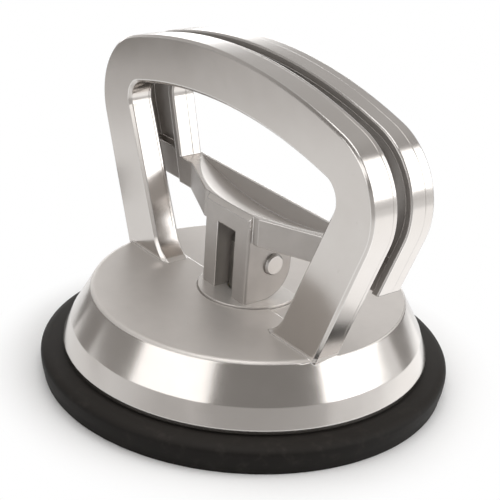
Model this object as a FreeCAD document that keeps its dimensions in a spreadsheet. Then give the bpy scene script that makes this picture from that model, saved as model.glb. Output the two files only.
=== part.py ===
"""Floor tile suction lifter: a rubber cup under a cast dome with a fixed grip, and a cam lever beside it.

The pivot pin's axis runs along X above the origin. The cup's sealing face lies on z = 0.
The fixed grip is in front (-Y), the lever behind it (+Y), shown closed, with the cup drawn up.
"""
import FreeCAD
import Part
import Sketcher
import math
import os
import re

# Driving dimensions in millimetres and degrees. Heights of the grips are measured from the deck.
DIMENSIONS = [
    ("pad_radius", 59.0, "rubber cup, at its widest"),
    ("pad_undercut", 1.0, "rubber cup, from its widest radius in to the floor's"),
    ("pad_height", 8.1, "floor to the face that the dome sits on"),
    ("pad_widest_height", 4.6, "floor to the widest point"),
    ("pad_shoulder_drop", 0.5, "fall of the rubber from the dome's edge to its outer shoulder"),
    ("pad_corner", 2.5, "round at the cup's upper edge"),
    ("lip_width", 8.0, "width of the ring that seals on the tile"),
    ("cavity_height", 4.3, "height of the vacuum space when the lever is closed"),
    ("cavity_margin", 4.0, "flat roof of the vacuum space, out past the plate"),
    ("web_thickness", 4.5, "rubber between the vacuum space and the plate"),
    ("cup_wall_height", 2.5, "ring that centres the cup inside the dome"),
    ("cup_wall_thickness", 2.5, "thickness of that ring"),
    ("soft_gap", 0.3, "room left round rubber and loose discs"),
    ("pad_ledge", 6.3, "rubber that stands out past the dome's lower edge"),
    ("rim_land", 1.7, "upright land above the dome's lower edge"),
    ("rim_chamfer", 0.6, "chamfer under that land"),
    ("rim_width", 5.3, "face that presses on the cup"),
    ("band_inset", 2.2, "crease between the lower band and the cone, in from the lower edge"),
    ("crease_height", 7.3, "crease above the dome's lower edge"),
    ("dome_height", 17.6, "lower edge to the deck"),
    ("cone_inset", 5.66, "where the cone would meet the deck, in from the crease"),
    ("deck_round", 1.8, "round between the cone and the deck"),
    ("deck_wall", 4.0, "thickness of the deck"),
    ("side_wall", 3.6, "thickness of the cone"),
    ("deck_step", 0.3, "fall of the deck behind the grip"),
    ("hub_radius", 18.0, "boss under the deck"),
    ("hub_drop", 2.0, "depth of that boss"),
    ("rib_count", 6, "ribs under the deck"),
    ("rib_depth", 3.0, "depth of a rib"),
    ("rib_width", 2.4, "thickness of a rib"),
    ("rib_overlap", 0.6, "depth that a rib reaches into the hub and the deck"),
    ("grip_height", 70.4, "top of both grips above the deck"),
    ("grip_inset", 0.1, "grips' outer sides at the deck, in from its edge"),
    ("grip_lean", 21.9, "outward lean of the grips' sides"),
    ("grip_shoulder", 20.2, "outer shoulder radius"),
    ("grip_crown", 155.0, "radius of the top edge"),
    ("window_height", 56.2, "top of the hand opening above the deck"),
    ("window_crown", 156.0, "radius of the opening's top"),
    ("window_shoulder", 5.7, "radius of the opening's upper corners"),
    ("grip_leg", 17.24, "width of the fixed grip's leg at the deck, without its fillet"),
    ("window_lean", 23.3, "lean of the fixed grip's opening"),
    ("foot_flare", 12.0, "fillet where the grip grows out of the deck"),
    ("flare_sink", 1.0, "depth under the deck at which that fillet would run level"),
    ("grip_root", 2.5, "depth that the grip reaches into the deck"),
    ("grip_front", 12.4, "pin axis to the fixed grip's front face"),
    ("grip_thickness", 8.6, "fixed grip, front to back"),
    ("grip_front_chamfer", 0.7, "fixed grip, outer front edge"),
    ("grip_rear_chamfer", 0.7, "fixed grip, outer rear edge"),
    ("window_front_chamfer", 0.9, "fixed grip's opening, front edge"),
    ("window_rear_chamfer", 1.1, "fixed grip's opening, rear edge"),
    ("finger_gap", 4.1, "fixed grip to lever when closed"),
    ("lever_thickness", 8.1, "lever, front to back"),
    ("lever_leg", 18.6, "width of the lever's leg at the beam"),
    ("lever_lean", 17.1, "lean of the lever's opening"),
    ("lever_leg_end", 19.1, "lower end of the lever's legs and beam above the deck"),
    ("lever_front_chamfer", 0.4, "lever, front edges"),
    ("lever_rear_draft", 3.3, "width of the bevel behind the lever's parting line"),
    ("lever_rear_fall", 0.7, "fall of that bevel"),
    ("channel_rim", 2.2, "rim round the channel in the lever's front face"),
    ("channel_depth", 4.4, "depth of that channel"),
    ("channel_end", 28.3, "lower end of the channel above the deck"),
    ("channel_runout_depth", 1.2, "depth of the shallow groove below the channel"),
    ("beam_top", 27.1, "top of the lever's beam above the deck"),
    ("beam_front", 8.0, "pin axis to the beam's front edge"),
    ("beam_front_half", 12.5, "half length of the beam's front edge"),
    ("wing_corner", 5.9, "beam's wings stop short of the lever's opening by this at the legs' front"),
    ("back_rib", 2.7, "rib along the beam's rear edge"),
    ("dish_depth", 4.8, "depth of the dished top beside that rib"),
    ("dish_radius", 130.0, "curve of the dish along the beam"),
    ("fork_width", 20.2, "lever's fork across both ears"),
    ("fork_front", 9.3, "pin axis to the fork's front face"),
    ("fork_cap", 1.4, "height of the slope from the fork's face up to the beam"),
    ("fork_round", 0.8, "round on the fork's front corners"),
    ("slot_width", 8.2, "gap between the ears"),
    ("slot_rise", 9.6, "top of the gap above the pin axis"),
    ("cam_height", 10.6, "pin axis to the flat foot"),
    ("cam_rear", 6.26, "pin axis to the ears' rear face"),
    ("cam_lead", 2.9, "fall of the pin per radian of lever swing"),
    ("pin_diameter", 6.3, "pivot pin"),
    ("pin_overhang", 1.1, "pin beyond each ear"),
    ("pin_chamfer", 0.5, "pin ends"),
    ("running_gap", 0.05, "radial clearance of the moving fits"),
    ("stud_diameter", 11.6, "round part of the pull stud"),
    ("stud_crown", 5.2, "stud's top above the pin axis"),
    ("stud_chamfer", 1.5, "stud's top edge"),
    ("tongue_gap", 0.2, "stud's flats to each ear"),
    ("tongue_root", 0.7, "flats below the cam foot"),
    ("thread_diameter", 10.0, "stud's threaded end"),
    ("thread_tip_gap", 0.3, "thread's tip above the plate's underside"),
    ("plate_radius", 32.0, "steel plate bonded to the cup"),
    ("plate_thickness", 2.5, "that plate"),
    ("boss_radius", 9.0, "threaded boss on the plate"),
    ("boss_height", 3.5, "that boss"),
    ("nut_flats", 16.0, "lock nut across its flats"),
    ("nut_height", 2.5, "lock nut"),
    ("bush_wall", 1.4, "guide bush"),
    ("washer_radius", 14.6, "wear disc under the cam"),
    ("washer_thickness", 1.1, "that disc"),
    ("washer_sink", 0.6, "depth of its seat in the deck"),
    ("washer_flat", 7.7, "pin axis to the flat side that stops it turning"),
    ("seat_radius", 17.0, "spring seat"),
    ("seat_thickness", 1.2, "spring seat"),
    ("spring_radius", 14.2, "return spring, at the middle of its wire"),
    ("spring_wire", 1.6, "spring wire"),
    ("spring_turns", 3.0, "turns of the spring"),
]

doc = FreeCAD.newDocument("SuctionLifter")
sheet = doc.addObject("Spreadsheet::Sheet", "Dims")
for row, (alias, size, meaning) in enumerate(DIMENSIONS, start=1):
    sheet.set(f"A{row}", meaning)
    sheet.set(f"B{row}", str(size))
    sheet.setAlias(f"B{row}", alias)
doc.recompute()

NAMES = {alias for alias, _, _ in DIMENSIONS}

# Places that several pieces share, each worked out from the dimensions above.
PLACES = {
    "pad_foot_radius": "(pad_radius - pad_undercut)",
    "cavity_radius": "(plate_radius + cavity_margin)",
    "rim_radius": "(pad_radius - pad_ledge)",
    "crease_radius": "(rim_radius - band_inset)",
    "deck_radius": "(crease_radius - cone_inset)",
    "grip_foot_half": "(deck_radius - grip_inset)",
    "window_foot_half": "(grip_foot_half - grip_leg)",
    "lever_leg_half": "(grip_foot_half + beam_top * tan(grip_lean) - lever_leg)",
    "wing_half": "(lever_leg_half - wing_corner)",
    "deck": "(pad_height + dome_height)",
    "ceiling": "(deck - deck_wall)",
    "hub_face": "(ceiling - hub_drop)",
    "rim_inner": "(rim_radius - rim_width)",
    "bush_radius": "(stud_diameter / 2 + running_gap + bush_wall)",
    "washer_floor": "(deck - washer_sink)",
    "cam_foot": "(washer_floor + washer_thickness)",
    "pin_level": "(cam_foot + cam_height)",
    "grip_back": "(grip_thickness - grip_front)",
    "lever_front": "(grip_back + finger_gap)",
    "lever_back": "(lever_front + lever_thickness)",
    "beam_level": "(deck + beam_top)",
    "leg_floor": "(deck + lever_leg_end)",
    "rib_face": "(lever_back - back_rib)",
    "dish_slope": "atan(dish_depth / (rib_face + beam_front))",
    "flare_level": "(deck - flare_sink)",
    "flare_reach": "(foot_flare / tan(45 + window_lean / 2))",
    "window_toe": "(window_foot_half - flare_sink * tan(window_lean) - flare_reach)",
    "plate_floor": "(cavity_height + web_thickness)",
    "plate_level": "(plate_floor + plate_thickness)",
    "boss_level": "(plate_level + boss_height)",
    "nut_level": "(boss_level + nut_height)",
    "seat_floor": "(hub_face - seat_thickness)",
    "nut_corner": "(nut_flats / 2 / cos(30))",
}


def expression(text):
    """Spells a formula of dimension and place names out in the sheet's own names."""
    words = re.compile(r"[a-z_]+[a-z]")
    while any(word in PLACES for word in words.findall(text)):
        text = words.sub(lambda found: PLACES.get(found.group(), found.group()), text)
    sheet_name = {name: "Dims." + name for name in NAMES}
    return words.sub(lambda found: sheet_name.get(found.group(), found.group()), text)


def value(text):
    """The present size of a formula."""
    size = sheet.evalExpression(expression(text))
    return float(getattr(size, "Value", size))


def bind(item, **formulas):
    """Ties an object's properties to formulas; a double underscore stands for a dot."""
    for path, text in formulas.items():
        item.setExpression(path.replace("__", "."), expression(text))


# A sketch numbers the points of a line or arc, and its own axes, in these orders.
POINTS = ("edge", "first", "last", "centre")
AXES = ("up", "across")
FIRST = POINTS.index("first")
LAST = POINTS.index("last")
CENTRE = POINTS.index("centre")
ACROSS_AXIS = AXES.index("across") - len(AXES)
UP_AXIS = AXES.index("up") - len(AXES)
ORIGIN = (ACROSS_AXIS, FIRST)


class Drawing:
    """A sketch on one of its body's origin planes, whose lines are all held by formulas."""

    def __init__(self, body, name, plane, out="0", up="0", tilt=None):
        self.sketch = body.newObject("Sketcher::SketchObject", name)
        face = next(item for item in body.Origin.OriginFeatures if item.Role == plane)
        self.sketch.AttachmentSupport = [(face, "")]
        self.sketch.MapMode = "FlatFace"
        bind(self.sketch, AttachmentOffset__Base__z=out, AttachmentOffset__Base__y=up)
        if tilt:
            self.sketch.AttachmentOffset = FreeCAD.Placement(
                FreeCAD.Vector(0, 0, 0), FreeCAD.Rotation(FreeCAD.Vector(-1, 0, 0), value(tilt)))
            bind(self.sketch, AttachmentOffset__Rotation__Angle=tilt)
        self.held = 0

    def hold(self, kind, *where, formula=None):
        """Adds one constraint, and ties its size to a formula where it has one."""
        if formula is None:
            self.sketch.addConstraint(Sketcher.Constraint(kind, *where))
            return
        size = value(formula)
        number = math.radians(size) if kind == "Angle" else size
        index = self.sketch.addConstraint(Sketcher.Constraint(kind, *where, number))
        self.held += 1
        name = f"{kind}{self.held}"
        self.sketch.renameConstraint(index, name)
        self.sketch.setExpression(f"Constraints.{name}", expression(formula))

    def locate(self, item, end, across, height):
        """Fixes one point by its two distances from the sketch's origin."""
        if across == "0":
            self.hold("PointOnObject", item, end, UP_AXIS)
        else:
            self.hold("DistanceX", *ORIGIN, item, end, formula=across)
        if height == "0":
            self.hold("PointOnObject", item, end, ACROSS_AXIS)
        else:
            self.hold("DistanceY", *ORIGIN, item, end, formula=height)

    def line(self, first, last):
        return self.sketch.addGeometry(Part.LineSegment(first, last))

    def arc(self, centre, radius, first_angle, last_angle):
        circle = Part.Circle(centre, FreeCAD.Vector(0, 0, 1), radius)
        return self.sketch.addGeometry(Part.ArcOfCircle(circle, first_angle, last_angle))

    def circle(self, across, height, radius):
        centre = FreeCAD.Vector(value(across), value(height), 0)
        item = self.sketch.addGeometry(Part.Circle(centre, FreeCAD.Vector(0, 0, 1), value(radius)))
        self.locate(item, CENTRE, across, height)
        self.hold("Radius", item, formula=radius)

    def polygon(self, *corners):
        """Draws a closed outline; a corner is (across, height) or (across, height, round)."""
        points = [FreeCAD.Vector(value(corner[0]), value(corner[1]), 0) for corner in corners]
        count = len(points)
        trims = []
        for index, corner in enumerate(corners):
            to_last = points[index - 1] - points[index]
            to_next = points[(index + 1) % count] - points[index]
            half_angle = to_last.getAngle(to_next) / 2
            trims.append(value(corner[2]) / math.tan(half_angle) if len(corner) == 3 else 0)
        sides = []
        for index in range(count):
            after = (index + 1) % count
            run = (points[after] - points[index]).normalize()
            sides.append(self.line(points[index] + run * trims[index], points[after] - run * trims[after]))
        for index, corner in enumerate(corners):
            before, after = sides[index - 1], sides[index]
            if len(corner) == 2:
                self.hold("Coincident", before, LAST, after, FIRST)
                self.locate(after, FIRST, *corner)
            else:
                self.round_corner(points[index], before, after, *corner)

    def round_corner(self, point, before, after, across, height, radius):
        """Joins two lines with an arc; a guide point holds the corner that the lines would make."""
        first = self.sketch.Geometry[before].EndPoint
        last = self.sketch.Geometry[after].StartPoint
        inward = ((first + last) * 0.5 - point).normalize()
        reach = math.hypot(value(radius), (first - point).Length)
        centre = point + inward * reach
        angles = [math.atan2(end.y - centre.y, end.x - centre.x) for end in (first, last)]
        turn = (angles[1] - angles[0]) % (2 * math.pi)
        if turn < math.pi:
            item = self.arc(centre, value(radius), angles[0], angles[0] + turn)
            ends = (FIRST, LAST)
        else:
            item = self.arc(centre, value(radius), angles[1], angles[1] + 2 * math.pi - turn)
            ends = (LAST, FIRST)
        guide = self.sketch.addGeometry(Part.Point(point), True)
        self.hold("Tangent", before, LAST, item, ends[0])
        self.hold("Tangent", item, ends[1], after, FIRST)
        self.hold("Radius", item, formula=radius)
        self.hold("PointOnObject", guide, FIRST, before)
        self.hold("PointOnObject", guide, FIRST, after)
        self.locate(guide, FIRST, across, height)

    def chain(self, start, corners, finish):
        """Draws straight lines from one drawn end, over located corners, to another drawn end."""
        points = [self.sketch.getPoint(*start)]
        points += [FreeCAD.Vector(value(across), value(height), 0) for across, height in corners]
        points.append(self.sketch.getPoint(*finish))
        ends = start
        for index in range(len(points) - 1):
            side = self.line(points[index], points[index + 1])
            self.hold("Coincident", *ends, side, FIRST)
            if index:
                self.locate(side, FIRST, *corners[index - 1])
            ends = (side, LAST)
        self.hold("Coincident", *ends, *finish)

    def arch(self, foot, level, lean, shoulder, crown, top, flare=None):
        """Draws one edge of a D-shaped grip and gives its two lower ends, left and right."""
        slant = math.radians(value(lean))
        foot_x, foot_y = value(foot), value(level)
        small, large = value(shoulder), value(crown)
        centre_y = value(top) - large
        shift = foot_x - foot_y * math.tan(slant) - small / math.cos(slant)
        if flare:
            toe = value(flare)
            shift += toe * math.tan(math.pi / 4 + slant / 2) ** -1
        square = 1 + math.tan(slant) ** 2
        middle = shift * math.tan(slant) - centre_y
        rest = shift ** 2 + centre_y ** 2 - (large - small) ** 2
        corner_y = (math.sqrt(middle ** 2 - square * rest) - middle) / square
        corner_x = shift + corner_y * math.tan(slant)
        turn = math.atan2(corner_y - centre_y, corner_x)
        leg_top = (corner_x + small * math.cos(slant), corner_y - small * math.sin(slant))
        leg_foot = (foot_x, foot_y)
        if flare:
            leg_foot = (foot_x + toe * math.cos(slant), foot_y + toe * (1 - math.sin(slant)))
        legs, shoulders = {}, {}
        for side in (1, -1):
            legs[side] = self.line(FreeCAD.Vector(side * leg_foot[0], leg_foot[1], 0),
                                   FreeCAD.Vector(side * leg_top[0], leg_top[1], 0))
            angles = (-slant, turn) if side == 1 else (math.pi - turn, math.pi + slant)
            shoulders[side] = self.arc(FreeCAD.Vector(side * corner_x, corner_y, 0), small, *angles)
            self.hold("Angle", legs[side], formula=f"90 - {side} * ({lean})")
            self.hold("Radius", shoulders[side], formula=shoulder)
        roof = self.arc(FreeCAD.Vector(0, centre_y, 0), large, turn, math.pi - turn)
        self.hold("Radius", roof, formula=crown)
        self.locate(roof, CENTRE, "0", f"{top} - ({crown})")
        self.hold("Tangent", legs[1], LAST, shoulders[1], FIRST)
        self.hold("Tangent", shoulders[1], LAST, roof, FIRST)
        self.hold("Tangent", roof, LAST, shoulders[-1], FIRST)
        self.hold("Tangent", shoulders[-1], LAST, legs[-1], LAST)
        ends = []
        for side in (-1, 1):
            item, end = legs[side], FIRST
            if flare:
                item, end = self.flare(side, legs[side], foot_x, foot_y, slant, flare)
            self.locate(item, end, f"{side} * ({foot})", level)
            ends.append((item, end))
        return ends

    def flare(self, side, leg, foot_x, foot_y, slant, radius):
        """Draws the fillet that turns a leg's lower end level; its level end stays to be located."""
        toe = value(radius)
        centre = FreeCAD.Vector(side * foot_x, foot_y + toe, 0)
        down = -math.pi / 2
        angles = (down, -slant) if side == 1 else (math.pi + slant, down + 2 * math.pi)
        item = self.arc(centre, toe, *angles)
        level_end, leg_end = (FIRST, LAST) if side == 1 else (LAST, FIRST)
        self.hold("Tangent", item, leg_end, leg, FIRST)
        self.hold("Radius", item, formula=radius)
        self.hold("Vertical", item, CENTRE, item, level_end)
        return item, level_end


def new_body(name):
    body = doc.addObject("PartDesign::Body", name)
    body.Label = name
    return body


def add_feature(body, kind, name, drawing=None, **formulas):
    """Adds one feature to a body and brings the body up to date."""
    feature = body.newObject("PartDesign::" + kind, name)
    if drawing:
        feature.Profile = drawing.sketch
    bind(feature, **formulas)
    return feature


def add_cut(body, name, drawing, reverse=False, through=False, **formulas):
    """Adds a pocket and checks that it really takes metal away."""
    doc.recompute()
    before = body.Shape.Volume
    feature = add_feature(body, "Pocket", name, drawing, **formulas)
    feature.Reversed = reverse
    if through:
        feature.Type = "ThroughAll"
        feature.Midplane = True
    doc.recompute()
    if not body.Shape.Volume < before:
        raise RuntimeError(f"{name} cuts nothing")
    return feature


def add_turning(body, name, corners):
    """Adds a turned solid about the upright axis."""
    drawing = Drawing(body, name + "Profile", "XZ_Plane")
    drawing.polygon(*corners)
    feature = add_feature(body, "Revolution", name, drawing)
    feature.ReferenceAxis = (drawing.sketch, ["V_Axis"])
    doc.recompute()
    return feature


def turned(name, *corners):
    body = new_body(name)
    add_turning(body, name + "Turning", corners)
    return body


def dress(body, kind, name, test, **formulas):
    """Adds a chamfer or fillet on every edge of the body that passes a test."""
    doc.recompute()
    base = body.Tip
    picked = [f"Edge{number}" for number, edge in enumerate(base.Shape.Edges, start=1) if test(edge)]
    if not picked:
        raise RuntimeError(f"{name} finds no edge")
    feature = body.newObject("PartDesign::" + kind, name)
    feature.Base = (base, picked)
    bind(feature, **formulas)
    doc.recompute()
    return feature


TOUCH = 1e-4


def on_face(edge, level):
    """Whether an edge lies in the upright plane at this distance behind the pin axis."""
    box = edge.BoundBox
    return abs(box.YMin - value(level)) < TOUCH and abs(box.YMax - value(level)) < TOUCH


def follows(edge, curves, slant, half_width, level):
    """Whether an edge is one of the named arcs, or a leg of that lean through that point."""
    if isinstance(edge.Curve, Part.Circle):
        return any(abs(edge.Curve.Radius - value(radius)) < TOUCH for radius in curves)
    middle = edge.CenterOfMass
    leg = value(half_width) + (middle.z - value(level)) * math.tan(math.radians(value(slant)))
    return abs(abs(middle.x) - leg) < TOUCH


def outer_edge(edge, level):
    return on_face(edge, level) and follows(
        edge, ("grip_shoulder", "grip_crown"), "grip_lean", "grip_foot_half", "deck")


def window_edge(edge, level):
    return on_face(edge, level) and follows(
        edge, ("window_shoulder", "window_crown", "foot_flare"), "window_lean", "window_foot_half", "deck")


def lever_window_edge(edge, level):
    return on_face(edge, level) and follows(
        edge, ("window_shoulder", "window_crown"), "lever_lean", "lever_leg_half", "beam_level")


def grip_half(level, inset="0"):
    """Half width of the grips' outer outline at a level, less an inset square to its side."""
    return f"(grip_foot_half + ({level} - deck) * tan(grip_lean) - {inset} / cos(grip_lean))"


def lever_window_half(level, outset="0"):
    """Half width of the lever's opening at a level, plus an outset square to its side."""
    return f"(lever_leg_half + ({level} - beam_level) * tan(lever_lean) + {outset} / cos(lever_lean))"


def body_casting():
    """Cast dome with its fixed grip, deck seat, hub and ribs, in one piece."""
    body = new_body("body_casting")
    root = "(deck - grip_root)"
    grip = Drawing(body, "GripOutline", "XZ_Plane", out="-grip_back")
    outer = grip.arch(grip_half(root), root, "grip_lean", "grip_shoulder", "grip_crown",
                      "deck + grip_height")
    inner = grip.arch("window_toe", "flare_level", "window_lean", "window_shoulder", "window_crown",
                      "deck + window_height", flare="foot_flare")
    for side, start, finish in ((-1, outer[0], inner[0]), (1, outer[1], inner[1])):
        grip.chain(start, [(f"{side} * window_toe", root)], finish)
    add_feature(body, "Pad", "Grip", grip, Length="grip_thickness")
    dress(body, "Chamfer", "GripFrontEdge", lambda edge: outer_edge(edge, "-grip_front"),
          Size="grip_front_chamfer")
    dress(body, "Chamfer", "GripRearEdge", lambda edge: outer_edge(edge, "grip_back"),
          Size="grip_rear_chamfer")
    dress(body, "Chamfer", "WindowFrontEdge", lambda edge: window_edge(edge, "-grip_front"),
          Size="window_front_chamfer")
    dress(body, "Chamfer", "WindowRearEdge", lambda edge: window_edge(edge, "grip_back"),
          Size="window_rear_chamfer")
    add_turning(body, "Dome", [
        ("rim_inner", "pad_height"),
        ("rim_radius - rim_chamfer", "pad_height"),
        ("rim_radius", "pad_height + rim_chamfer"),
        ("rim_radius", "pad_height + rim_land"),
        ("crease_radius", "pad_height + crease_height"),
        ("deck_radius", "deck", "deck_round"),
        ("bush_radius", "deck"),
        ("bush_radius", "hub_face"),
        ("hub_radius", "hub_face"),
        ("hub_radius", "ceiling"),
        ("deck_radius - side_wall / 2", "ceiling"),
        ("crease_radius - side_wall", "pad_height + crease_height"),
    ])
    step = Drawing(body, "DeckStepOutline", "XY_Plane", out="deck")
    step.polygon(("-rim_radius", "grip_back"), ("rim_radius", "grip_back"),
                 ("rim_radius", "rim_radius"), ("-rim_radius", "rim_radius"))
    add_cut(body, "DeckStep", step, Length="deck_step")
    seat = Drawing(body, "WasherSeatOutline", "XY_Plane", out="deck")
    draw_flatted_disc(seat, "washer_radius + soft_gap", "washer_flat + soft_gap")
    add_cut(body, "WasherSeat", seat, Length="washer_sink")
    rib = Drawing(body, "RibOutline", "XZ_Plane")
    rib_start = "hub_radius - rib_overlap"
    rib.polygon((rib_start, "ceiling - rib_depth"), ("deck_radius", "ceiling - rib_depth"),
                ("deck_radius", "ceiling + rib_overlap"), (rib_start, "ceiling + rib_overlap"))
    first_rib = add_feature(body, "Pad", "Rib", rib, Length="rib_width")
    first_rib.Midplane = True
    ring = body.newObject("PartDesign::PolarPattern", "Ribs")
    ring.Originals = [first_rib]
    ring.Axis = (rib.sketch, ["V_Axis"])
    ring.Angle = 360
    bind(ring, Occurrences="rib_count")
    body.Tip = ring
    return body


def draw_flatted_disc(drawing, radius, flat):
    """Draws a disc with one straight side."""
    reach, height = value(radius), value(flat)
    half = math.sqrt(reach ** 2 - height ** 2)
    angle = math.atan2(height, half)
    rim = drawing.arc(FreeCAD.Vector(0, 0, 0), reach, math.pi - angle, 2 * math.pi + angle)
    side = drawing.line(FreeCAD.Vector(half, height, 0), FreeCAD.Vector(-half, height, 0))
    drawing.locate(rim, CENTRE, "0", "0")
    drawing.hold("Radius", rim, formula=radius)
    drawing.hold("Coincident", rim, LAST, side, FIRST)
    drawing.hold("Coincident", side, LAST, rim, FIRST)
    drawing.hold("Horizontal", side)
    drawing.hold("DistanceY", *ORIGIN, side, FIRST, formula=flat)


def draw_band(drawing, end, rim):
    """Draws the lever's grip down to a level on both legs, less a rim along both its edges."""
    outer = drawing.arch(grip_half(end, rim), end, "grip_lean", f"grip_shoulder - {rim}",
                         f"grip_crown - {rim}", f"deck + grip_height - {rim}")
    inner = drawing.arch(lever_window_half(end, rim), end, "lever_lean", f"window_shoulder + {rim}",
                         f"window_crown + {rim}", f"deck + window_height + {rim}")
    for start, finish in zip(outer, inner):
        drawing.chain(start, [], finish)


def lever_casting():
    """Cast lever: D grip with a channelled front, dished beam, and forked cam that straddles the stud."""
    body = new_body("lever_casting")
    grip = Drawing(body, "GripOutline", "XZ_Plane", out="-lever_back")
    draw_band(grip, "leg_floor", "0")
    add_feature(body, "Pad", "Grip", grip, Length="lever_thickness")
    for name, test in (("Outer", outer_edge), ("Window", lever_window_edge)):
        dress(body, "Chamfer", name + "FrontEdge", lambda edge: test(edge, "lever_front"),
              Size="lever_front_chamfer")
        bevel = dress(body, "Chamfer", name + "RearBevel", lambda edge: test(edge, "lever_back"),
                      Size="lever_rear_fall", Size2="lever_rear_draft")
        bevel.ChamferType = "Two distances"
    beam = Drawing(body, "BeamOutline", "XY_Plane", out="leg_floor")
    beam_end = "(lever_leg_half + channel_rim / 2)"
    beam.polygon(("-beam_front_half", "-beam_front"), ("beam_front_half", "-beam_front"),
                 ("wing_half", "lever_front"), (beam_end, "lever_front"),
                 (beam_end, "lever_back - lever_rear_draft"),
                 (f"-{beam_end}", "lever_back - lever_rear_draft"),
                 (f"-{beam_end}", "lever_front"), ("-wing_half", "lever_front"))
    add_feature(body, "Pad", "Beam", beam, Length="beam_level - leg_floor")
    rear = Drawing(body, "BackRibOutline", "XZ_Plane", out="-lever_back")
    draw_back_rib(rear)
    add_feature(body, "Pad", "BackRib", rear, Length="back_rib + lever_rear_draft")
    channel = Drawing(body, "ChannelOutline", "XZ_Plane", out="-lever_front")
    draw_band(channel, "(deck + channel_end)", "channel_rim")
    add_cut(body, "Channel", channel, Length="channel_depth")
    runout = Drawing(body, "RunoutOutline", "XZ_Plane", out="-lever_front")
    draw_band(runout, "leg_floor", "channel_rim")
    add_cut(body, "ChannelRunout", runout, Length="channel_runout_depth")
    fork = Drawing(body, "ForkOutline", "YZ_Plane")
    fork.polygon(("-fork_front", "cam_foot"), ("cam_rear", "cam_foot", "cam_rear + cam_lead"),
                 ("cam_rear", "(leg_floor + beam_level) / 2"), ("-beam_front", "beam_level"),
                 ("-fork_front", "beam_level - fork_cap"))
    block = add_feature(body, "Pad", "Fork", fork, Length="fork_width")
    block.Midplane = True
    dress(body, "Fillet", "ForkCorners", fork_corner, Radius="fork_round")
    dish = Drawing(body, "DishOutline", "XZ_Plane", out="-rib_face", up="beam_level - dish_depth",
                   tilt="dish_slope")
    draw_dish(dish)
    add_cut(body, "Dish", dish, reverse=True,
            Length="(rib_face + beam_front) / cos(dish_slope) + beam_front")
    slot = Drawing(body, "SlotOutline", "XZ_Plane")
    slot.polygon(("-slot_width / 2", "cam_foot - slot_width"), ("slot_width / 2", "cam_foot - slot_width"),
                 ("slot_width / 2", "pin_level + slot_rise"), ("-slot_width / 2", "pin_level + slot_rise"))
    add_cut(body, "Slot", slot, through=True)
    hole = Drawing(body, "PinHoleOutline", "YZ_Plane")
    hole.circle("0", "pin_level", "pin_diameter / 2")
    add_cut(body, "PinHole", hole, through=True)
    return body


def draw_back_rib(drawing):
    """Draws the beam's rear wall between the legs, ending inside both legs."""
    low, high = ("leg_floor", "beam_level")
    half = {level: lever_window_half(level, "lever_rear_fall") for level in (low, high)}
    drawing.polygon((f"-{half[low]}", low), (half[low], low), (half[high], high), (f"-{half[high]}", high))


def fork_corner(edge):
    """Whether an edge is one of the fork's upright front corners."""
    box = edge.BoundBox
    upright = box.ZLength > value("cam_height") and box.XLength < TOUCH and box.YLength < TOUCH
    return upright and abs(box.YMin + value("fork_front")) < TOUCH


def draw_dish(drawing):
    """Draws the shallow bowl that is scooped out of the beam, above an arc through the origin."""
    radius = value("dish_radius")
    half = value(DISH_HALF)
    rise = radius - math.sqrt(radius ** 2 - half ** 2)
    spread = math.asin(half / radius)
    down = 3 * math.pi / 2
    bowl = drawing.arc(FreeCAD.Vector(0, radius, 0), radius, down - spread, down + spread)
    drawing.locate(bowl, CENTRE, "0", "dish_radius")
    drawing.hold("Radius", bowl, formula="dish_radius")
    drawing.hold("DistanceX", *ORIGIN, bowl, FIRST, formula=f"-{DISH_HALF}")
    drawing.hold("DistanceX", *ORIGIN, bowl, LAST, formula=DISH_HALF)
    top = f"{rise} + dish_depth + fork_front"
    drawing.chain((bowl, LAST), [(DISH_HALF, top), (f"-{DISH_HALF}", top)], (bowl, FIRST))


DISH_HALF = "(lever_leg_half - lever_rear_fall)"


def pull_stud():
    """Steel stud: round shank, threaded lower end, and a flat tongue with the pin's eye."""
    body = turned(
        "pull_stud",
        ("0", "plate_floor + thread_tip_gap"),
        ("thread_diameter / 2", "plate_floor + thread_tip_gap"),
        ("thread_diameter / 2", "nut_level"),
        ("stud_diameter / 2", "nut_level"),
        ("stud_diameter / 2", "pin_level + stud_crown - stud_chamfer"),
        ("stud_diameter / 2 - stud_chamfer", "pin_level + stud_crown"),
        ("0", "pin_level + stud_crown"),
    )
    flats = Drawing(body, "FlatsOutline", "XY_Plane", out="cam_foot - tongue_root")
    for side in (-1, 1):
        near, far = f"{side} * (slot_width / 2 - tongue_gap)", f"{side} * stud_diameter"
        flats.polygon((near, "-stud_diameter"), (far, "-stud_diameter"), (far, "stud_diameter"),
                      (near, "stud_diameter"))
    add_cut(body, "Flats", flats, reverse=True,
            Length="cam_height + stud_crown + tongue_root + stud_chamfer")
    eye = Drawing(body, "EyeOutline", "YZ_Plane")
    eye.circle("0", "pin_level", "pin_diameter / 2 + running_gap")
    add_cut(body, "Eye", eye, through=True)
    return body


def hinge_pin():
    """Plain steel pin across the fork, with chamfered ends."""
    half = "(fork_width / 2 + pin_overhang)"
    body = turned(
        "hinge_pin",
        ("0", f"-{half}"),
        ("pin_diameter / 2 - pin_chamfer", f"-{half}"),
        ("pin_diameter / 2", f"pin_chamfer - {half}"),
        ("pin_diameter / 2", f"{half} - pin_chamfer"),
        ("pin_diameter / 2 - pin_chamfer", half),
        ("0", half),
    )
    body.Placement = FreeCAD.Placement(FreeCAD.Vector(0, 0, value("pin_level")),
                                       FreeCAD.Rotation(FreeCAD.Vector(0, 1, 0), 90))
    bind(body, Placement__Base__z="pin_level")
    return body


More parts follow.
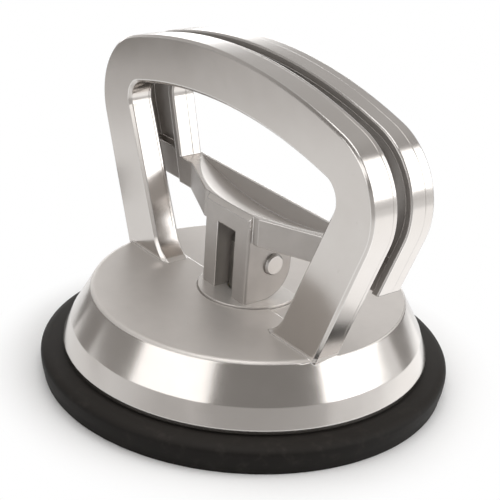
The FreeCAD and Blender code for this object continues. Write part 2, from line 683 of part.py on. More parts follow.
def wear_washer():
    """Thin disc that the cam slides on, with one flat side that stops it turning in its seat."""
    body = turned(
        "wear_washer",
        ("stud_diameter / 2 + soft_gap", "washer_floor"),
        ("washer_radius", "washer_floor"),
        ("washer_radius", "cam_foot"),
        ("stud_diameter / 2 + soft_gap", "cam_foot"),
    )
    side = Drawing(body, "SideOutline", "XY_Plane", out="cam_foot")
    side.polygon(("-washer_radius", "washer_flat"), ("washer_radius", "washer_flat"),
                 ("washer_radius", "2 * washer_radius"), ("-washer_radius", "2 * washer_radius"))
    add_cut(body, "FlatSide", side, Length="washer_thickness")
    return body


def ring(name, inner, outer, floor, top):
    """A plain turned ring."""
    return turned(name, (inner, floor), (outer, floor), (outer, top), (inner, top))


def lock_nut():
    """Thin hexagon nut that locks the stud in the plate's boss."""
    block = doc.addObject("Part::Prism", "LockNutBlock")
    block.Polygon = 6
    hole = doc.addObject("Part::Cylinder", "LockNutHole")
    bind(block, Circumradius="nut_corner", Height="nut_height", Placement__Base__z="boss_level")
    bind(hole, Radius="thread_diameter / 2", Height="nut_height", Placement__Base__z="boss_level")
    nut = doc.addObject("Part::Cut", "lock_nut")
    nut.Label = "lock_nut"
    nut.Base = block
    nut.Tool = hole
    return nut


def return_spring():
    """Compression spring, squeezed between the plate and its seat while the lever is closed."""
    coil = doc.addObject("Part::Helix", "SpringCoil")
    bind(coil, Radius="spring_radius", Height="seat_floor - plate_level - spring_wire",
         Pitch="(seat_floor - plate_level - spring_wire) / spring_turns",
         Placement__Base__z="plate_level + spring_wire / 2")
    wire = doc.addObject("Part::Circle", "SpringWire")
    upright = FreeCAD.Rotation(FreeCAD.Vector(1, 0, 0), 90)
    wire.Placement = FreeCAD.Placement(FreeCAD.Vector(0, 0, 0), upright)
    bind(wire, Radius="spring_wire / 2", Placement__Base__x="spring_radius",
         Placement__Base__z="plate_level + spring_wire / 2")
    spring = doc.addObject("Part::Sweep", "return_spring")
    spring.Label = "return_spring"
    spring.Sections = [wire]
    spring.Spine = coil
    spring.Solid = True
    spring.Frenet = True
    return spring


def rubber_pad():
    """Moulded rubber cup: sealing ring, domed web under the plate, and a ring that centres it."""
    wall_outer = "(rim_inner - soft_gap)"
    wall_inner = f"({wall_outer} - cup_wall_thickness)"
    return turned(
        "rubber_pad",
        ("0", "cavity_height"),
        ("cavity_radius", "cavity_height"),
        ("pad_foot_radius - lip_width", "0"),
        ("pad_foot_radius", "0"),
        ("pad_radius", "pad_widest_height"),
        ("pad_radius", "pad_height - pad_shoulder_drop", "pad_corner"),
        ("rim_radius", "pad_height"),
        (wall_outer, "pad_height"),
        (wall_outer, "pad_height + cup_wall_height"),
        (wall_inner, "pad_height + cup_wall_height"),
        (wall_inner, "pad_height"),
        ("plate_radius + cup_wall_thickness", "plate_floor + plate_thickness / 2"),
        ("plate_radius + soft_gap", "plate_floor + plate_thickness / 2"),
        ("plate_radius + soft_gap", "plate_floor"),
        ("0", "plate_floor"),
    )


PIECES = [
    body_casting(),
    lever_casting(),
    pull_stud(),
    hinge_pin(),
    wear_washer(),
    ring("guide_bush", "stud_diameter / 2 + running_gap", "bush_radius", "hub_face", "washer_floor"),
    ring("spring_seat", "nut_corner + running_gap * 10", "seat_radius", "seat_floor", "hub_face"),
    ring("backing_plate", "thread_diameter / 2", "plate_radius", "plate_floor", "plate_level"),
    ring("threaded_boss", "thread_diameter / 2", "boss_radius", "plate_level", "boss_level"),
    lock_nut(),
    return_spring(),
    rubber_pad(),
]
doc.recompute()

for item in doc.Objects:
    if "Invalid" in item.State or "Error" in item.State:
        raise RuntimeError(f"{item.Label} failed: {item.State}")
os.makedirs("parts", exist_ok=True)
for piece in PIECES:
    shape = piece.Shape
    if shape.isNull() or not shape.isValid() or len(shape.Solids) != 1:
        raise RuntimeError(f"{piece.Label} is not one sound solid")
    shape.exportStep(os.path.join("parts", piece.Label + ".step"))
    print(f"{piece.Label}: {shape.Volume:.1f} mm3")
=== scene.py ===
import math

import bmesh
import bpy
from mathutils import Matrix, Vector


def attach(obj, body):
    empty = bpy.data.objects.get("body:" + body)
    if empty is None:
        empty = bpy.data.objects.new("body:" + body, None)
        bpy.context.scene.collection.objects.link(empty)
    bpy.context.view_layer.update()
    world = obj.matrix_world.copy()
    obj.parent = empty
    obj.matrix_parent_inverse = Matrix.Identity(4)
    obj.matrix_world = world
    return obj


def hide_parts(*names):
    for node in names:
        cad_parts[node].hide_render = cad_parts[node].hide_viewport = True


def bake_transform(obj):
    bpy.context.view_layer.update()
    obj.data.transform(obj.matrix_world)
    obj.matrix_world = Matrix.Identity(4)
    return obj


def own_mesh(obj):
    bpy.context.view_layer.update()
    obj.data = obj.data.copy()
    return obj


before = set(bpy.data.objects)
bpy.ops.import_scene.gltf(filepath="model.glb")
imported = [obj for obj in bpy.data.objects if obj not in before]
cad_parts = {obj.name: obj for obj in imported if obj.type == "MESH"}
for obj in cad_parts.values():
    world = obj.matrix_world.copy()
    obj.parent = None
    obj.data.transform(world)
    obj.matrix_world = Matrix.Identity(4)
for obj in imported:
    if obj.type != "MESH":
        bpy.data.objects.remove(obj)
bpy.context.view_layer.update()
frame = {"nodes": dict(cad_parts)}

nodes = frame["nodes"]

# --- Dome with its fixed grip -------------------------------------------------------------------
# One gravity casting in aluminium: the dome that presses on the rubber, its flat deck, and the
# D grip that grows out of the deck. It is polished to a warm satin with a few pits, its rounded
# edges are rubbed bright, and the deck is blasted. The side that faces the lever is left raw,
# rougher and less metallic, and its darker tone is painted shade from the gap between the grips.


class Signal:
    """What comes out of a shader node. Python's own signs on it add Math nodes."""

    def __init__(self, nodes, socket):
        self.nodes = nodes
        self.socket = socket

    def __getitem__(self, name):
        return Signal(self.nodes, self.socket.node.outputs[name])

    def join(self, sign, left, right):
        return self.nodes.add("Math", {"operation": sign}, {0: left, 1: right})

    def __add__(self, other):
        return self.join("ADD", self, other)

    def __radd__(self, other):
        return self.join("ADD", other, self)

    def __sub__(self, other):
        return self.join("SUBTRACT", self, other)

    def __rsub__(self, other):
        return self.join("SUBTRACT", other, self)

    def __mul__(self, other):
        return self.join("MULTIPLY", self, other)

    def __rmul__(self, other):
        return self.join("MULTIPLY", other, self)

    def between(self, none, full):
        """A mask that eases from 0 where this signal is none to 1 where it is full."""
        return self.nodes.add("MapRange", {"interpolation_type": "SMOOTHSTEP"},
                              {"Value": self, "From Min": none, "From Max": full})

    def within(self, full, none):
        """A mask that is 1 while this signal is nearer to zero than full, and 0 past none."""
        return self.between(-none, -full) * self.between(none, full)


class Nodes:
    """A node tree that is being filled."""

    def __init__(self, tree):
        self.tree = tree

    def add(self, kind, settings=None, sockets=None):
        """Adds a node: its settings first, then the values or signals of its sockets."""
        made = self.tree.nodes.new("ShaderNode" + kind)
        for name, setting in (settings or {}).items():
            setattr(made, name, setting)
        for name, value in (sockets or {}).items():
            if isinstance(name, str):
                name = next(i for i, s in enumerate(made.inputs) if s.enabled and s.name == name)
            self.plug(made.inputs[name], value)
        return Signal(self, next((s for s in made.outputs if s.enabled), None))

    def plug(self, socket, value):
        if isinstance(value, Signal):
            self.tree.links.new(value.socket, socket)
        else:
            socket.default_value = value

    def tint(self, share, first, second):
        """A colour between two, by a signal from 0 to 1."""
        return self.add("Mix", {"data_type": "RGBA"}, {"Factor": share, "A": first, "B": second})

    def vector(self, operation, first, second=(0, 0, 0)):
        return self.add("VectorMath", {"operation": operation}, {0: first, 1: second})

    def parts(self, vector):
        """A vector's X, Y and Z, which are asked for by name."""
        return self.add("SeparateXYZ", None, {"Vector": vector})


class Finish(Nodes):
    """A material with its Principled shader, laid out on the piece's own coordinates."""

    def __init__(self, name):
        self.material = bpy.data.materials.new(name)
        self.material.use_nodes = True
        super().__init__(self.material.node_tree)
        self.shader = self.tree.nodes["Principled BSDF"]
        self.place = self.add("TexCoord")["Object"]

    def facing(self):
        """The way that the surface looks, which turns with the piece."""
        return self.parts(self.add("TexCoord")["Normal"])

    def noise(self, size, detail, place=None):
        """Cloudy noise from 0 to 1, whose patches are about this many metres across."""
        return self.add("TexNoise", None, {"Vector": place or self.place, "Scale": 1 / size,
                                           "Detail": detail, "Roughness": 0.6})

    def bump(self, height, depth, under=None):
        """Raises the surface by a signal times a depth in metres."""
        sockets = {"Height": height, "Distance": depth, "Strength": 1.0}
        if under:
            sockets["Normal"] = under
        return self.add("Bump", None, sockets)

    def rounded(self, radius):
        """The surface with its edges rounded, and a mask of those edges."""
        soft = self.add("Bevel", {"samples": 8}, {"Radius": radius})
        flat = self.add("NewGeometry")["Normal"]
        bend = 1 - self.vector("DOT_PRODUCT", soft, flat)["Value"]
        return soft, bend.between(none=0.002, full=0.03)

    def shade(self, **sockets):
        """Sets the shader's sockets, named with _ for a space, and gives the material."""
        for name, value in sockets.items():
            self.plug(self.shader.inputs[name.replace("_", " ")], value)
        return self.material


def give(piece, material):
    piece.data.materials.clear()
    piece.data.materials.append(material)


ALUMINIUM_WARM = (0.550, 0.516, 0.487, 1)
ALUMINIUM_PALE = (0.640, 0.613, 0.588, 1)
ALUMINIUM_RUBBED = (0.76, 0.74, 0.72, 1)
ALUMINIUM_PIT = (0.40, 0.37, 0.34, 1)
ALUMINIUM_RAW_AND_SHADED = (0.40, 0.375, 0.355, 1)
ALUMINIUM_BLASTED = (0.70, 0.665, 0.635, 1)
CAST_EDGE = 0.00045
CAST_RELIEF = 0.000005
SEAM_HALF_WIDTH = 0.00016
SEAM_HEIGHT = 8.0
SEAM_STARTS = 0.031
SEAM_FULL = 0.036
POLISHED_ROUGHNESS = 0.105
BLASTED_ROUGHER = 0.26
RAW_ROUGHER = 0.22
BLASTED_DULLER = 0.35
RAW_DULLER = 0.40


def cast_aluminium(name, blasted, raw_and_shaded, seam):
    """Polished casting. Its blasted parts are paler and duller. Its raw parts are rougher and
    duller, and their darker tone is painted shade.

    Both are asked for as functions of the place and of the way that the face looks there, and
    give a mask from 0 to 1. The mould's halves met at the seam, in metres along y."""
    finish = Finish(name)
    soft, edge = finish.rounded(CAST_EDGE)
    cloud = finish.noise(size=0.017, detail=3)
    smear = finish.noise(size=0.005, detail=2)
    skin = finish.noise(size=0.0011, detail=3)
    grit = finish.noise(size=0.00024, detail=2)
    pit = finish.noise(size=0.0016, detail=1).between(0.76, 0.84)
    place = finish.parts(finish.place)
    facing = finish.facing()
    blasted, raw_and_shaded = blasted(place, facing), raw_and_shaded(place, facing)
    ridge = (place["Y"] - seam).within(0, SEAM_HALF_WIDTH)
    ridge = ridge * place["Z"].between(SEAM_STARTS, SEAM_FULL) * facing["Y"].within(0.3, 0.5)
    tone = finish.tint(cloud, ALUMINIUM_WARM, ALUMINIUM_PALE)
    # The raw faces get a darker tone: painted shade from the gap between the grips and inside the
    # fork.
    tone = finish.tint(raw_and_shaded * (0.75 + 0.4 * smear), tone, ALUMINIUM_RAW_AND_SHADED)
    tone = finish.tint(blasted * (0.5 + 0.6 * smear), tone, ALUMINIUM_BLASTED)
    tone = finish.tint(edge * 0.75, tone, ALUMINIUM_RUBBED)
    tone = finish.tint(0.3 * pit + 0.35 * ridge, tone, ALUMINIUM_PIT)
    gloss = POLISHED_ROUGHNESS + 0.07 * cloud + 0.05 * smear + 0.03 * grit + 0.08 * pit
    gloss = gloss + (1 - edge) * (BLASTED_ROUGHER * blasted + RAW_ROUGHER * raw_and_shaded)
    height = 0.65 * skin + 0.35 * grit - 0.5 * pit + SEAM_HEIGHT * ridge
    metal = 1 - (1 - edge) * (BLASTED_DULLER * blasted + RAW_DULLER * raw_and_shaded)
    return finish.shade(Base_Color=tone, Metallic=metal, Roughness=gloss,
                        Normal=finish.bump(height, CAST_RELIEF, soft))


DECK = 0.0257
DOME_SEAM = -0.0056


def dome_blasted(place, facing):
    """The deck. The blasting fades out a little way up the grip's foot."""
    rim = place["Z"].between(DECK - 0.0008, DECK - 0.0005)
    foot = place["Z"].between(DECK + 0.0012, DECK + 0.0004)
    return rim * foot


def dome_raw_and_shaded(place, facing):
    """The side of the grip that looks at the lever, where no polishing wheel reaches. It is left
    raw, and its darker tone is painted shade from the gap between the grips.
    """
    return facing["Y"].between(0.5, 0.8) * place["Z"].between(0.031, 0.033)


give(nodes["body_casting"],
     cast_aluminium("dome cast aluminium", dome_blasted, dome_raw_and_shaded, DOME_SEAM))

# --- Guide bush -----------------------------------------------------------------------------------
# A short brass bush pressed into the deck's middle, in which the pull stud slides up and down.
# It is turned from bar, so fine rings run round it.

BROKEN_EDGE = 0.0002
TOOL_FEED = 0.00016
TURNED_RELIEF = 0.000003


def turned(name, tone, worn, gloss, along, pitch=TOOL_FEED):
    """Bar metal with the tool's fine rings across its axis, which runs along x or along z."""
    finish = Finish(name)
    soft, edge = finish.rounded(BROKEN_EDGE)
    across, lengthwise = 30, 1 / pitch
    stretch = {"x": (lengthwise, across, across), "z": (across, across, lengthwise)}[along]
    rings = finish.noise(size=1, detail=1, place=finish.vector("MULTIPLY", finish.place, stretch))
    cloud = finish.noise(size=0.004, detail=3)
    return finish.shade(Base_Color=finish.tint(0.7 * cloud + 0.3 * rings, tone, worn),
                        Metallic=1.0,
                        Roughness=gloss + 0.06 * rings + 0.05 * cloud - 0.05 * edge,
                        Normal=finish.bump(rings, TURNED_RELIEF, soft))


give(nodes["guide_bush"], turned("turned brass", tone=(0.66, 0.47, 0.20, 1),
                                 worn=(0.78, 0.60, 0.30, 1), gloss=0.24, along="z"))

# --- Spring seat ----------------------------------------------------------------------------------
# A stamped steel ring that keeps the spring from wearing the aluminium hub. Bright zinc plating,
# a little cloudy, with rings left by the die.

PLATED_RELIEF = 0.000004


def plated(name, tone, dull, gloss, metal=1.0):
    """Sheet steel under bright zinc: cloudy, with faint rings round the stud's axis."""
    finish = Finish(name)
    soft, edge = finish.rounded(BROKEN_EDGE)
    flat = finish.vector("MULTIPLY", finish.place, (1, 1, 0))
    reach = finish.vector("LENGTH", flat)["Value"]
    rings = finish.noise(size=0.0004, detail=1, place=finish.add("CombineXYZ", None, {"X": reach}))
    cloud = finish.noise(size=0.006, detail=4)
    spangle = finish.noise(size=0.0007, detail=2)
    return finish.shade(Base_Color=finish.tint(0.6 * cloud + 0.4 * spangle, tone, dull),
                        Metallic=metal,
                        Roughness=gloss + 0.09 * cloud + 0.04 * rings - 0.06 * edge,
                        Normal=finish.bump(0.6 * rings + 0.4 * spangle, PLATED_RELIEF, soft))


give(nodes["spring_seat"], plated("seat zinc plate", tone=(0.62, 0.62, 0.61, 1),
                                  dull=(0.50, 0.51, 0.52, 1), gloss=0.26))

# --- Return spring --------------------------------------------------------------------------------
# Three turns of 1.6 mm drawn steel wire between its seat and the plate. It is drawn squeezed,
# as it is with the lever closed.

SPRING_RADIUS = 0.0142
WIRE_RADIUS = 0.0008
WIRE_SIDES = 14
WIRE_SCRATCHES = 0.0006
SPRING_LOW = 0.0121
SPRING_HIGH = 0.0177
SPRING_TURNS = 3
STEPS_PER_TURN = 56
SHARP_FROM = math.radians(40)
CENTRE = (0, 0, 0)
UPRIGHT = (0, 0, 1)
STAND_UP = Matrix.Rotation(math.pi / 2, 3, "X")


def new_piece(name, work, material, body=None):
    """A finished bmesh as an object at the origin, with its finish and its body."""
    bmesh.ops.recalc_face_normals(work, faces=work.faces)
    for face in work.faces:
        face.smooth = True
    mesh = bpy.data.meshes.new(name)
    work.to_mesh(mesh)
    work.free()
    mesh.set_sharp_from_angle(angle=SHARP_FROM)
    piece = bpy.data.objects.new(name, mesh)
    bpy.context.scene.collection.objects.link(piece)
    give(piece, material)
    if body:
        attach(piece, body)
    return piece


steps = SPRING_TURNS * STEPS_PER_TURN
coil = bmesh.new()
bmesh.ops.create_circle(coil, segments=WIRE_SIDES, radius=WIRE_RADIUS)
bmesh.ops.rotate(coil, verts=coil.verts, cent=CENTRE, matrix=STAND_UP)
bmesh.ops.translate(coil, verts=coil.verts, vec=(SPRING_RADIUS, 0, SPRING_LOW))
bmesh.ops.spin(coil, geom=coil.verts[:] + coil.edges[:], cent=CENTRE, axis=UPRIGHT,
               dvec=(0, 0, (SPRING_HIGH - SPRING_LOW) / steps), steps=steps,
               angle=SPRING_TURNS * 2 * math.pi)
bmesh.ops.holes_fill(coil, edges=[edge for edge in coil.edges if edge.is_boundary])
wire = turned("drawn spring wire", tone=(0.36, 0.36, 0.37, 1), worn=(0.46, 0.45, 0.45, 1),
              gloss=0.30, along="z", pitch=WIRE_SCRATCHES)
spring = new_piece("return_spring_wire", coil, wire)
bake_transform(spring)
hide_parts("return_spring")

# --- Rubber cup -----------------------------------------------------------------------------------
# Compression-moulded black rubber. The outer ring lies on the tile and carries the dome on its
# shoulder; the web in its middle is bonded to the plate.

CUP_FOOT = 0.058
CUP_WIDEST = 0.059
CUP_NARROWER = 0.0589
CUP_SEAT = 0.0527
CUP_LIP = 0.050
CUP_ROOF = 0.036
CUP_WALL_OUT = 0.0471
CUP_WALL_IN = 0.0446
RIM_LOW = 0.0046
RIM_HIGH = 0.0076
SHOULDER = 0.0081
CUP_TOP = 0.0106
WEB_LOW = 0.0043
WEB_HIGH = 0.0088
FOOT_ROUND = 0.0003
RIM_LOW_ROUND = 0.0012
RIM_HIGH_ROUND = 0.0025
WALL_ROUND = 0.0004
ROOF_ROUND = 0.0015
CUP_SEGMENTS = 160
ROUND_SEGMENTS = 6
SAME_POINT = 0.000005


def turned_round(corners):
    """A ring spun from its cross-section: corners with their reach, height and rounding."""
    work = bmesh.new()
    verts = [work.verts.new((reach, 0, height)) for reach, height, radius in corners]
    work.faces.new(verts)
    for vert, (reach, height, radius) in zip(verts, corners):
        if radius:
            bmesh.ops.bevel(work, geom=[vert], offset=radius, affect="VERTICES",
                            segments=ROUND_SEGMENTS, profile=0.5, material=-1)
    bmesh.ops.delete(work, geom=work.faces[:], context="FACES_ONLY")
    bmesh.ops.spin(work, geom=work.verts[:] + work.edges[:], cent=CENTRE, axis=UPRIGHT,
                   angle=2 * math.pi, steps=CUP_SEGMENTS, use_merge=True)
    bmesh.ops.remove_doubles(work, verts=work.verts, dist=SAME_POINT)
    return work


RUBBER_BLACK = (0.0045, 0.0036, 0.0028, 1)
RUBBER_WORN = (0.0090, 0.0074, 0.0060, 1)
RUBBER_DUST_AND_SHEEN = (0.048, 0.042, 0.037, 1)
RUBBER_RELIEF = 0.000018


def black_rubber(name):
    """Moulded rubber: near black, matt, with the mould's fine grain and patches of dusty bloom.
    What looks up is paler, as a painted sheen.
    """
    finish = Finish(name)
    cloud = finish.noise(size=0.011, detail=4)
    bloom = finish.noise(size=0.003, detail=3).between(0.5, 0.8)
    grain = finish.noise(size=0.0004, detail=3)
    # Bloom patches are dust; the paler tone on upward faces is a painted sheen.
    dust_and_sheen = 0.25 * bloom + 0.25 * finish.facing()["Z"].between(0.35, 0.95)
    tone = finish.tint(cloud, RUBBER_BLACK, RUBBER_WORN)
    return finish.shade(Base_Color=finish.tint(dust_and_sheen, tone, RUBBER_DUST_AND_SHEEN),
                        Roughness=0.55 + 0.10 * cloud + 0.08 * bloom,
                        Normal=finish.bump(0.8 * grain + 0.2 * bloom, RUBBER_RELIEF),
                        Specular_IOR_Level=0.17)


underside = (CUP_LIP - CUP_WALL_IN) / (CUP_LIP - CUP_ROOF) * WEB_LOW
ring = turned_round([(CUP_LIP, 0, 0),
                     (CUP_FOOT, 0, FOOT_ROUND),
                     (CUP_WIDEST, RIM_LOW, RIM_LOW_ROUND),
                     (CUP_NARROWER, RIM_HIGH, RIM_HIGH_ROUND),
                     (CUP_SEAT, SHOULDER, 0),
                     (CUP_WALL_OUT, SHOULDER, 0),
                     (CUP_WALL_OUT, CUP_TOP, WALL_ROUND),
                     (CUP_WALL_IN, CUP_TOP, WALL_ROUND),
                     (CUP_WALL_IN, underside, 0)])
web = turned_round([(0, WEB_LOW, 0),
                    (CUP_ROOF, WEB_LOW, ROOF_ROUND),
                    (CUP_WALL_IN, underside, 0),
                    (CUP_WALL_IN, WEB_HIGH, 0),
                    (0, WEB_HIGH, 0)])
cup_rubber, web_rubber = black_rubber("cup black rubber"), black_rubber("web black rubber")
cup_ring = new_piece("rubber_cup_ring", ring, cup_rubber, "root")
cup_web = new_piece("rubber_cup_web", web, web_rubber, "root")
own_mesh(cup_web)
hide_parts("rubber_pad")
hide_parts("rubber_pad")

# --- Plate, boss and lock nut ---------------------------------------------------------------------
# The round steel plate that is bonded to the rubber's middle, the boss welded on it that takes
# the stud's thread, and the thin nut that locks the stud. All three are zinc plated.

give(nodes["backing_plate"], plated("plate zinc", tone=(0.60, 0.60, 0.59, 1),
                                    dull=(0.47, 0.48, 0.49, 1), gloss=0.28))
give(nodes["threaded_boss"], plated("boss zinc", tone=(0.62, 0.61, 0.58, 1),
                                    dull=(0.49, 0.49, 0.49, 1), gloss=0.26))
give(nodes["lock_nut"], plated("nut zinc", tone=(0.64, 0.62, 0.57, 1),
                               dull=(0.52, 0.51, 0.48, 1), gloss=0.24))

# --- Pull stud ------------------------------------------------------------------------------------
# A turned steel stud. Two milled flats at its top fit between the lever's ears, and the pin goes
# through its eye. Its other end is screwed into the boss.

give(nodes["pull_stud"], turned("stud bright steel", tone=(0.34, 0.33, 0.31, 1),
                                worn=(0.44, 0.43, 0.41, 1), gloss=0.27, along="z"))

# --- Wear washer ----------------------------------------------------------------------------------
# A thin disc of sheet steel that lies in a shallow seat in the deck. The cam slides on it, so it
# is paler and duller than new plate. One side is cut straight against the grip, so it can't turn.

give(nodes["wear_washer"], plated("washer bright plate", tone=(0.80, 0.77, 0.74, 1),
                                  dull=(0.68, 0.65, 0.62, 1), gloss=0.30, metal=0.7))

# --- Lever ----------------------------------------------------------------------------------------
# The second D grip, cast in one with its dished beam and the forked cam. Its front face has a
# channel to save metal, and a parting line runs along its outer side. The dish is blasted. The
# side that faces the fixed grip and the fork's upright faces are left raw, rougher and less
# metallic, and their darker tone is painted shade from the gap and from inside the fork.

LEVER_SEAM = 0.0050
BEAM_TOP = 0.054
DISH_HALF_LENGTH = 0.036
DISH_BLASTED = 0.6
FORK_TOP = 0.050
FORK_HALF_WIDTH = 0.016
CAST_FADE = 0.002


def lever_blasted(place, facing):
    """The dish on top of the beam."""
    low = place["Z"].between(BEAM_TOP, BEAM_TOP - CAST_FADE)
    inner = place["X"].within(DISH_HALF_LENGTH - CAST_FADE, DISH_HALF_LENGTH)
    return DISH_BLASTED * facing["Z"].between(0.25, 0.45) * low * inner


def lever_raw_and_shaded(place, facing):
    """The side that looks at the fixed grip, the beam's front, and the fork's upright faces.
    They are left raw, and their darker tone is painted shade.
    """
    front = facing["Y"].between(-0.4, -0.7)
    low = place["Z"].between(FORK_TOP, FORK_TOP - CAST_FADE)
    inner = place["X"].within(FORK_HALF_WIDTH - CAST_FADE, FORK_HALF_WIDTH)
    fork = facing["Z"].between(0.5, 0.3) * low * inner
    return 1 - (1 - front) * (1 - fork)


give(nodes["lever_casting"],
     cast_aluminium("lever cast aluminium", lever_blasted, lever_raw_and_shaded, LEVER_SEAM))

# --- Hinge pin ------------------------------------------------------------------------------------
# A turned steel pin pressed through both ears and the stud's eye. Its faced ends stand a little
# proud of the ears and are the brightest metal on the tool.

give(nodes["hinge_pin"], turned("pin faced steel", tone=(0.50, 0.48, 0.465, 1),
                                worn=(0.58, 0.56, 0.54, 1), gloss=0.26, along="x"))

# --- Table ----------------------------------------------------------------------------------------
# White card under the tool. It carries the tool's shadow near the cup, and further out it is an
# even white, which adds no light to the tool. The metal sees its front and its left part, well
# away from the tool, as grey. The camera doesn't.

CAMERA_AZIMUTH = 51.29
TABLE_LEFT = -60
TABLE_RADIUS = 3.0
SHADOW_FULL = 0.0595
SHADOW_GONE = 0.078
WHITE = (1, 1, 1, 1)
FRONT_GREY = (0.57, 0.56, 0.55, 1)
LEFT_GREY = (0.66, 0.65, 0.64, 1)
PAPER = (0.93, 0.93, 0.93, 1)
PAPER_FIBRE = (0.96, 0.96, 0.96, 1)


def direction(azimuth, elevation=0):
    """The way from the tool to something; azimuth 0 lies in front of the fixed grip."""
    a, e = math.radians(azimuth), math.radians(elevation)
    return Vector((math.sin(a) * math.cos(e), -math.cos(a) * math.cos(e), math.sin(e)))


def staged(name, work):
    """A finished bmesh that isn't part of the tool."""
    mesh = bpy.data.meshes.new(name)
    work.to_mesh(mesh)
    work.free()
    prop = bpy.data.objects.new(name, mesh)
    bpy.context.scene.collection.objects.link(prop)
    return prop


table = bmesh.new()
bmesh.ops.create_circle(table, cap_ends=True, segments=96, radius=TABLE_RADIUS)
floor = staged("table", table)
paper = Finish("white card")
fibre = paper.noise(size=0.0015, detail=3)
paper.shade(Base_Color=paper.tint(fibre, PAPER, PAPER_FIBRE), Roughness=0.9,
            Specular_IOR_Level=0.1)
front = paper.vector("DOT_PRODUCT", paper.place, tuple(direction(CAMERA_AZIMUTH)))["Value"]
left = paper.vector("DOT_PRODUCT", paper.place, tuple(direction(TABLE_LEFT)))["Value"]
outside = paper.vector("LENGTH", paper.place)["Value"].between(SHADOW_FULL, SHADOW_GONE)
path = paper.add("LightPath")
seen = path["Is Camera Ray"] + path["Is Glossy Ray"] + path["Is Transmission Ray"]
off_camera = 1 - path["Is Camera Ray"]
glow = paper.tint(front.between(0.2, 0.5) * off_camera, WHITE, FRONT_GREY)
glow = paper.tint(left.between(0.18, 0.29) * off_camera, glow, LEFT_GREY)
even = paper.add("Emission", None, {"Color": glow, "Strength": 1.0})
lit = Signal(paper, paper.shader.outputs[0])
mixed = paper.add("MixShader", None, {0: seen * outside, 1: lit, 2: even})
paper.plug(paper.tree.nodes["Material Output"].inputs["Surface"], mixed)
give(floor, paper.material)

# --- Studio light ---------------------------------------------------------------------------------
# Two soft boxes stand in front, left and right, one hangs above, a low strip stands behind, and a
# patch of the table on the right is lit. Grey cards that only the metal sees give it its dark
# bands. The room is a dull grey, paler low down and behind the tool, and white to the camera.

TOOL_MIDDLE = Vector((0, 0, 0.03))
TABLE_LIGHT_AZIMUTH = 126
TABLE_LIGHT_DISTANCE = 0.225
JUST_ABOVE_TABLE = Vector((0, 0, 0.0005))


def lamp(name, place, turn, width, height, radiance):
    """A rectangular lamp that the camera doesn't see."""
    light = bpy.data.lights.new(name, "AREA")
    light.shape = "RECTANGLE"
    light.size, light.size_y = width, height
    light.energy = radiance * math.pi * width * height
    holder = bpy.data.objects.new(name, light)
    bpy.context.scene.collection.objects.link(holder)
    holder.location = place
    holder.rotation_euler = turn
    holder.visible_camera = False


def softbox(name, azimuth, elevation, distance, width, height, radiance):
    """A lamp that is turned to the tool."""
    away = direction(azimuth, elevation)
    lamp(name, TOOL_MIDDLE + away * distance, away.to_track_quat("Z", "Y").to_euler(),
         width, height, radiance)


softbox("left soft box", azimuth=CAMERA_AZIMUTH - 46, elevation=29, distance=0.9,
        width=0.80, height=0.48, radiance=1.65)
softbox("right soft box", azimuth=CAMERA_AZIMUTH + 77, elevation=29.5, distance=0.9,
        width=0.78, height=0.66, radiance=2.4)
softbox("top soft box", azimuth=0, elevation=90, distance=1.1,
        width=0.8, height=0.8, radiance=2.2)
softbox("rear strip box", azimuth=CAMERA_AZIMUTH + 180, elevation=5, distance=1.1,
        width=1.3, height=0.26, radiance=1.7)
lamp("right table light", direction(TABLE_LIGHT_AZIMUTH) * TABLE_LIGHT_DISTANCE + JUST_ABOVE_TABLE,
     (math.pi, 0, math.radians(TABLE_LIGHT_AZIMUTH)), width=0.20, height=0.32, radiance=0.45)

CARD_GREY = (0.30, 0.29, 0.28, 1)
RIGHT_CARD_GREY = (0.34, 0.33, 0.32, 1)
NAP_PALER = 1.1


def dark_card(name, azimuth, distance, width, height, foot, grey):
    """A grey card beside the tool, its foot this far above the table, that only metal sees."""
    board = bmesh.new()
    bmesh.ops.create_grid(board, x_segments=1, y_segments=1, size=0.5)
    bmesh.ops.scale(board, verts=board.verts, vec=(width, height, 1))
    bmesh.ops.rotate(board, verts=board.verts, cent=CENTRE, matrix=STAND_UP)
    bmesh.ops.rotate(board, verts=board.verts, cent=CENTRE,
                     matrix=Matrix.Rotation(math.radians(azimuth), 3, "Z"))
    stand = direction(azimuth) * distance
    bmesh.ops.translate(board, verts=board.verts, vec=(stand.x, stand.y, foot + height / 2))
    card = staged(name, board)
    felt = Finish(name + " felt")
    paler = tuple(part * NAP_PALER for part in grey[:3]) + (1,)
    nap = felt.noise(size=0.02, detail=2)
    give(card, felt.shade(Base_Color=felt.tint(nap, grey, paler), Roughness=0.9))
    card.visible_camera = False
    card.visible_diffuse = False
    card.visible_shadow = False


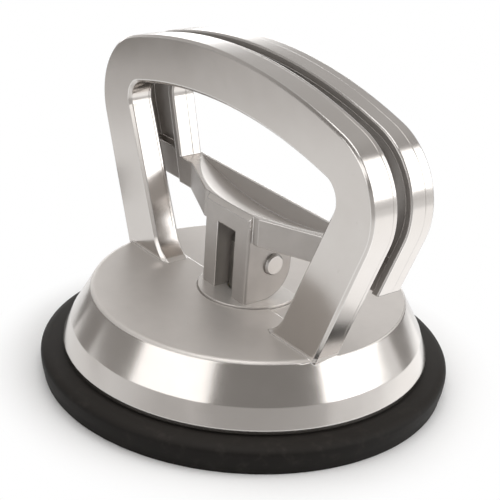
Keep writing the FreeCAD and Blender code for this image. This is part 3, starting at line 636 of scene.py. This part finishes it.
dark_card("left card", azimuth=-65, distance=0.32, width=0.16, height=0.16, foot=0,
          grey=CARD_GREY)
dark_card("left raised card", azimuth=-35, distance=0.32, width=0.20, height=0.11, foot=0.05,
          grey=CARD_GREY)
dark_card("left low card", azimuth=-72, distance=0.135, width=0.036, height=0.014, foot=0,
          grey=CARD_GREY)
dark_card("right card", azimuth=176, distance=0.21, width=0.16, height=0.10, foot=0,
          grey=RIGHT_CARD_GREY)

FRONT_WALL = (0.30, 0.29, 0.28, 1)
BACK_WALL = (0.58, 0.57, 0.56, 1)

world = bpy.data.worlds.new("room")
bpy.context.scene.world = world
world.use_nodes = True
room = Nodes(world.node_tree)
aim = room.add("TexCoord")["Generated"]
rise = room.parts(aim)["Z"]
behind = room.vector("DOT_PRODUCT", aim, tuple(direction(CAMERA_AZIMUTH + 180)))["Value"]
wall = room.tint(behind.between(-0.1, 0.6), FRONT_WALL, BACK_WALL)
skirting = room.tint(behind.between(-0.85, 0.1), FRONT_GREY, WHITE)
grey = room.tint(rise.between(0.33, 0.18), wall, skirting)
shown = room.tint(room.add("LightPath")["Is Camera Ray"], grey, WHITE)
background = world.node_tree.nodes["Background"]
room.plug(background.inputs["Color"], shown)
room.plug(background.inputs["Strength"], 1.0)

# --- Camera ---------------------------------------------------------------------------------------
# It stands where the photograph's perspective of the cup's circles and the two grips puts it,
# 0.41 m away and 24 degrees up, and leans four degrees.

CAMERA_ELEVATION = 24.30
CAMERA_DISTANCE = 0.4111
CAMERA_LEAN = math.radians(-4.03)
CAMERA_RIGHT = -0.00033
CAMERA_UP = 0.03375

lens = bpy.data.cameras.new("camera")
lens.sensor_width = 36.0
lens.lens = 100.43
lens.clip_start = 0.01
viewer = bpy.data.objects.new("camera", lens)
bpy.context.scene.collection.objects.link(viewer)
bpy.context.scene.camera = viewer
back = direction(CAMERA_AZIMUTH, CAMERA_ELEVATION)
right = Vector((-back.y, back.x, 0)).normalized()
up = back.cross(right)
leaning_right = right * math.cos(CAMERA_LEAN) - up * math.sin(CAMERA_LEAN)
leaning_up = right * math.sin(CAMERA_LEAN) + up * math.cos(CAMERA_LEAN)
viewer.matrix_world = Matrix((leaning_right, leaning_up, back)).transposed().to_4x4()
viewer.matrix_world.translation = (back * CAMERA_DISTANCE + right * CAMERA_RIGHT
                                   + up * CAMERA_UP)
bpy.context.scene.view_settings.view_transform = "Standard"
